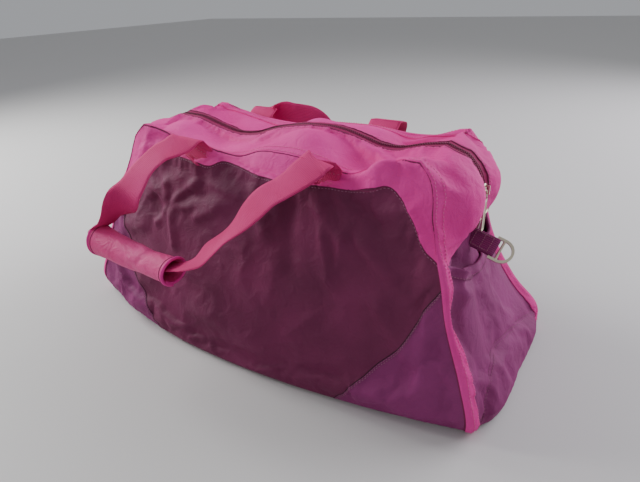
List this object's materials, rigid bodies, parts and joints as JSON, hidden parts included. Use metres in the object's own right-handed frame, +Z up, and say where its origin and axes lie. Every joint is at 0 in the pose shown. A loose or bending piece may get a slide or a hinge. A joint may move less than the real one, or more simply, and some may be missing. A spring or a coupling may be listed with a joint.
{
  "type": "duffel bag",
  "caption": "Soft zip-top duffel bag with a sloped body, two webbing handles, one padded grip, slip pockets and D-rings on its ends.",
  "frame": {"origin": "on the floor, under the middle of the base", "axes": "+X towards the end that holds both zipper sliders, -Y towards the front with the padded grip, +Z up"},
  "size_m": [0.5166, 0.3373, 0.2352],
  "materials": {
    "pink_fabric": "peached nylon, bright pink",
    "plum_fabric": "peached nylon, dark plum",
    "plum_side_fabric": "peached nylon, plum",
    "pink_webbing": "ribbed polyester webbing",
    "plum_webbing": "ribbed polyester webbing",
    "zipper_tape": "woven zipper tape",
    "zipper_coil": "moulded nylon coil",
    "pale_metal": "pale champagne plating",
    "board": "stiff polyethylene sheet"
  },
  "bodies": {
    "bag": {"front_panel": "plum_fabric", "front_yoke": "pink_fabric", "handle_anchors_front": "pink_webbing", "front_corner_left": "plum_side_fabric", "gusset_front_left": "pink_fabric", "binding_front_left": "pink_fabric", "front_corner_right": "plum_side_fabric", "gusset_front_right": "pink_fabric", "binding_front_right": "pink_fabric", "back_panel": "plum_fabric", "back_yoke": "pink_fabric", "handle_anchors_back": "pink_webbing", "back_corner_left": "plum_side_fabric", "gusset_back_left": "pink_fabric", "binding_back_left": "pink_fabric", "back_corner_right": "plum_side_fabric", "gusset_back_right": "pink_fabric", "binding_back_right": "pink_fabric", "end_panel_left": "plum_side_fabric", "end_pocket_left": "plum_side_fabric", "pocket_hem_left": "plum_side_fabric", "zipper_tape_left_end": "zipper_tape", "zipper_coil_left_end": "zipper_coil", "dring_tab_left": "plum_webbing", "end_panel_right": "plum_side_fabric", "end_pocket_right": "plum_side_fabric", "pocket_hem_right": "plum_side_fabric", "zipper_tape_right_end": "zipper_tape", "zipper_coil_right_end": "zipper_coil", "dring_tab_right": "plum_webbing", "base_panel": "plum_side_fabric", "base_board": "board"},
    "flap_front": {"top_flap_front": "pink_fabric", "zipper_tape_front": "zipper_tape", "zipper_coil_front": "zipper_coil"},
    "flap_back": {"top_flap_back": "pink_fabric", "zipper_tape_back": "zipper_tape", "zipper_coil_back": "zipper_coil"},
    "front_handle": {"front_handle_webbing": "pink_webbing", "grip_wrap": "pink_fabric", "grip_piping_left": "pink_fabric", "grip_piping_right": "pink_fabric"},
    "back_handle": {"back_handle_webbing": "pink_webbing"},
    "upper_slider": {"slider_upper": "pale_metal"},
    "upper_pull": {"pull_upper": "pale_metal"},
    "lower_slider": {"slider_lower": "pale_metal"},
    "lower_pull": {"pull_lower": "pale_metal"},
    "left_ring": {"dring_left": "pale_metal"},
    "right_ring": {"dring_right": "pale_metal"}
  },
  "joints": [
    {"name": "front_handle_swing", "type": "hinge", "parent": "bag", "child": "front_handle", "pos_m": [0, -0.077, 0.229], "axis": [-1, 0, 0], "range_deg": [-15, 126]},
    {"name": "back_handle_swing", "type": "hinge", "parent": "bag", "child": "back_handle", "pos_m": [0, 0.077, 0.229], "axis": [1, 0, 0], "range_deg": [-15, 104]},
    {"name": "front_flap_open", "type": "hinge", "parent": "bag", "child": "flap_front", "pos_m": [0, -0.066, 0.235], "axis": [-1, 0, 0], "range_deg": [-75, 0]},
    {"name": "back_flap_open", "type": "hinge", "parent": "bag", "child": "flap_back", "pos_m": [0, 0.066, 0.235], "axis": [1, 0, 0], "range_deg": [-75, 0]},
    {"name": "upper_slider_travel", "type": "hinge", "parent": "bag", "child": "upper_slider", "pos_m": [0.169, 0, 0.197], "axis": [0, -1, 0], "range_deg": [0, 86]},
    {"name": "upper_pull_tilt", "type": "hinge", "parent": "upper_slider", "child": "upper_pull", "pos_m": [0.2105, 0, 0.1956], "axis": [0, -1, 0], "range_deg": [0, 140]},
    {"name": "lower_slider_travel", "type": "slide", "parent": "bag", "child": "lower_slider", "axis": [0.1529, 0, 0.9882], "range_m": [0, 0.006]},
    {"name": "lower_pull_swing", "type": "hinge", "parent": "lower_slider", "child": "lower_pull", "pos_m": [0.20556, 0, 0.16482], "axis": [0.9882, 0, -0.1529], "range_deg": [-12, 40]},
    {"name": "right_ring_tilt", "type": "hinge", "parent": "bag", "child": "right_ring", "pos_m": [0.22404, 0, 0.14057], "axis": [0.2067, 0.7071, 0.6762], "range_deg": [-95, 20]},
    {"name": "left_ring_tilt", "type": "hinge", "parent": "bag", "child": "left_ring", "pos_m": [-0.22404, 0, 0.14057], "axis": [0.2067, -0.7071, -0.6762], "range_deg": [-95, 20]}
  ]
}
